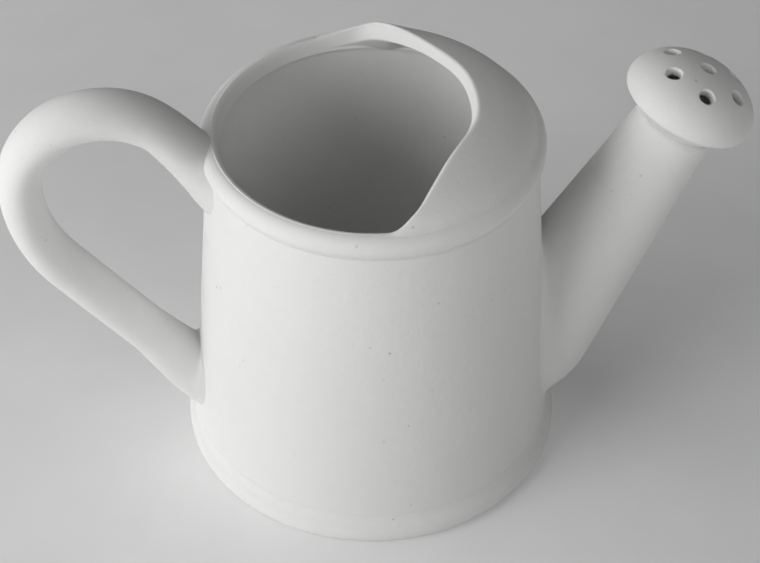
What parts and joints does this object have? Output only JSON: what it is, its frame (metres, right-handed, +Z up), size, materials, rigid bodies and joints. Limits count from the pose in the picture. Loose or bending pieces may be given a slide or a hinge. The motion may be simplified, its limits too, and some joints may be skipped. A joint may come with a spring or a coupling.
{
  "type": "watering can",
  "caption": "Small unglazed ceramic watering can with a tapered body, half-hooded mouth, straight slanting spout with a domed pierced rose, and a looped handle.",
  "frame": {"origin": "centre of the base, on the table", "axes": "+X from the can's axis towards the spout and rose, the handle on -X; +Z up; +Y completes a right-handed frame"},
  "size_m": [0.2252, 0.12, 0.1375],
  "materials": {
    "bisque": "matte"
  },
  "bodies": {
    "root": {"floor_slab": "bisque", "foot_ring": "bisque", "body_wall": "bisque", "rim_bead": "bisque", "hood": "bisque", "spout_tube": "bisque", "rose_collar": "bisque", "rose_face": "bisque", "handle": "bisque", "handle_upper_pad": "bisque", "handle_lower_pad": "bisque"}
  },
  "joints": []
}
